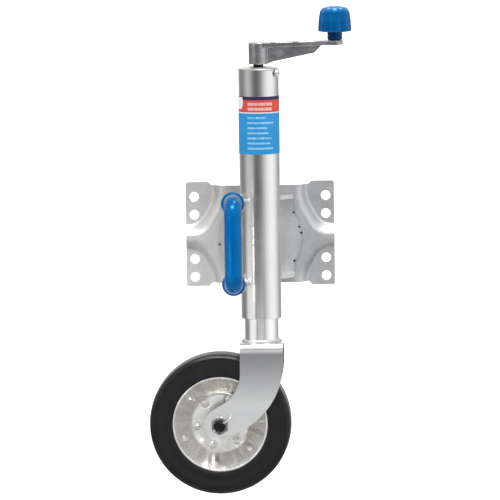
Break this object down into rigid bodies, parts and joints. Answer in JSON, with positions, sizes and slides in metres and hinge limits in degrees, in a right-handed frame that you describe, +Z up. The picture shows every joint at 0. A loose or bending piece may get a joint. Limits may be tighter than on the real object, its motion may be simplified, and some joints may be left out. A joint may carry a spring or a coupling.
{
  "type": "swing-up tongue jack stand with wheel",
  "caption": "Crank-operated telescopic caravan jack with a castering rubber wheel, blue pull handle to unlock its swing-up pivot, and a flat plate to bolt on a drawbar.",
  "frame": {"origin": "on the swivel pivot axis, in the plane of the mounting pads' back faces", "axes": "+Z up along the leg, +Y towards the drawbar that the plate bolts to, +X towards the crank knob"},
  "size_m": [0.2904, 0.12, 0.6863],
  "materials": {
    "galvanised_steel": "satin hot-dip galvanised steel, faint spangle and dull brushed streaks",
    "zinc_plate": "bright zinc plated pressed steel with warm reflections",
    "cast_steel": "cast and plated steel, matt with worn bright edges",
    "plain_steel": "turned steel",
    "black_steel": "black phosphated steel",
    "bronze": "bearing bronze",
    "blue_plastic": "glossy blue moulded plastic",
    "navy_plastic": "dark navy moulded plastic",
    "tyre_rubber": "smooth solid black rubber with a soft shine",
    "nylon": "off-white bearing nylon",
    "printed_label": "glossy printed film in plain colour bands, no lettering"
  },
  "bodies": {
    "mount": {"mounting_plate": "galvanised_steel", "pivot_bolt": "zinc_plate", "pivot_washer": "zinc_plate", "pivot_nut": "zinc_plate", "thrust_washer": "bronze"},
    "leg": {"swivel_bracket": "galvanised_steel", "outer_tube": "galvanised_steel", "tube_cap": "zinc_plate", "cap_bush": "bronze", "cap_rivet": "zinc_plate", "thrust_bearing": "plain_steel", "guide_bush": "nylon", "label": "printed_label", "handle_lug_upper": "galvanised_steel", "handle_lug_lower": "galvanised_steel", "lock_spring_upper": "plain_steel", "lock_spring_lower": "plain_steel"},
    "lock_handle": {"handle_grip": "blue_plastic", "lock_bar": "zinc_plate", "pull_rod_upper": "zinc_plate", "pull_rod_lower": "zinc_plate", "rod_nut_upper": "zinc_plate", "rod_nut_lower": "zinc_plate", "lock_pin_upper": "zinc_plate", "lock_pin_lower": "zinc_plate"},
    "crank": {"crank_arm": "cast_steel", "crank_roll_pin": "plain_steel", "lead_screw": "plain_steel", "screw_collar": "plain_steel", "knob_pin": "plain_steel"},
    "knob": {"crank_knob": "blue_plastic", "knob_neck": "navy_plastic"},
    "nut": {"drive_nut": "bronze"},
    "caster": {"inner_tube": "zinc_plate", "fork": "galvanised_steel", "axle_pin": "black_steel", "axle_washer": "black_steel", "axle_nut": "black_steel", "split_pin": "zinc_plate"},
    "wheel": {"tyre": "tyre_rubber", "rim_front": "zinc_plate", "rim_rear": "zinc_plate", "wheel_hub": "zinc_plate", "wheel_bush_front": "nylon", "wheel_bush_rear": "nylon", "wheel_rivet_1": "zinc_plate", "wheel_rivet_2": "zinc_plate", "wheel_rivet_3": "zinc_plate", "wheel_rivet_4": "zinc_plate", "wheel_rivet_5": "zinc_plate", "wheel_rivet_6": "zinc_plate"}
  },
  "joints": [
    {"name": "swing", "type": "hinge", "parent": "mount", "child": "leg", "pos_m": [0, 0, 0], "axis": [0, 1, 0], "range_deg": [-90, 90]},
    {"name": "handle_pull", "type": "slide", "parent": "leg", "child": "lock_handle", "axis": [0, -1, 0], "range_m": [0, 0.012], "stiffness_N_per_m": 3000, "springref_m": -0.008, "deforming": ["lock_spring_upper", "lock_spring_lower"]},
    {"name": "crank_spin", "type": "hinge", "parent": "leg", "child": "crank", "pos_m": [0, -0.06, 0.25], "axis": [0, 0, 1], "range_deg": [-15480, 1728]},
    {"name": "knob_spin", "type": "hinge", "parent": "crank", "child": "knob", "pos_m": [0.1077, -0.06, 0.29], "axis": [0, 0, 1], "continuous": true},
    {"name": "leg_slide", "type": "slide", "parent": "leg", "child": "nut", "axis": [0, 0, -1], "range_m": [-0.024, 0.215]},
    {"name": "caster_swivel", "type": "hinge", "parent": "nut", "child": "caster", "pos_m": [0, -0.06, -0.14], "axis": [0, 0, 1], "continuous": true},
    {"name": "wheel_spin", "type": "hinge", "parent": "caster", "child": "wheel", "pos_m": [-0.05926, -0.05772, -0.258], "axis": [0.0384, 0.9993, 0], "continuous": true}
  ],
  "couplings": [
    {"joint": "leg_slide", "follows": "crank_spin", "m_per_rad": -0.00079577}
  ]
}
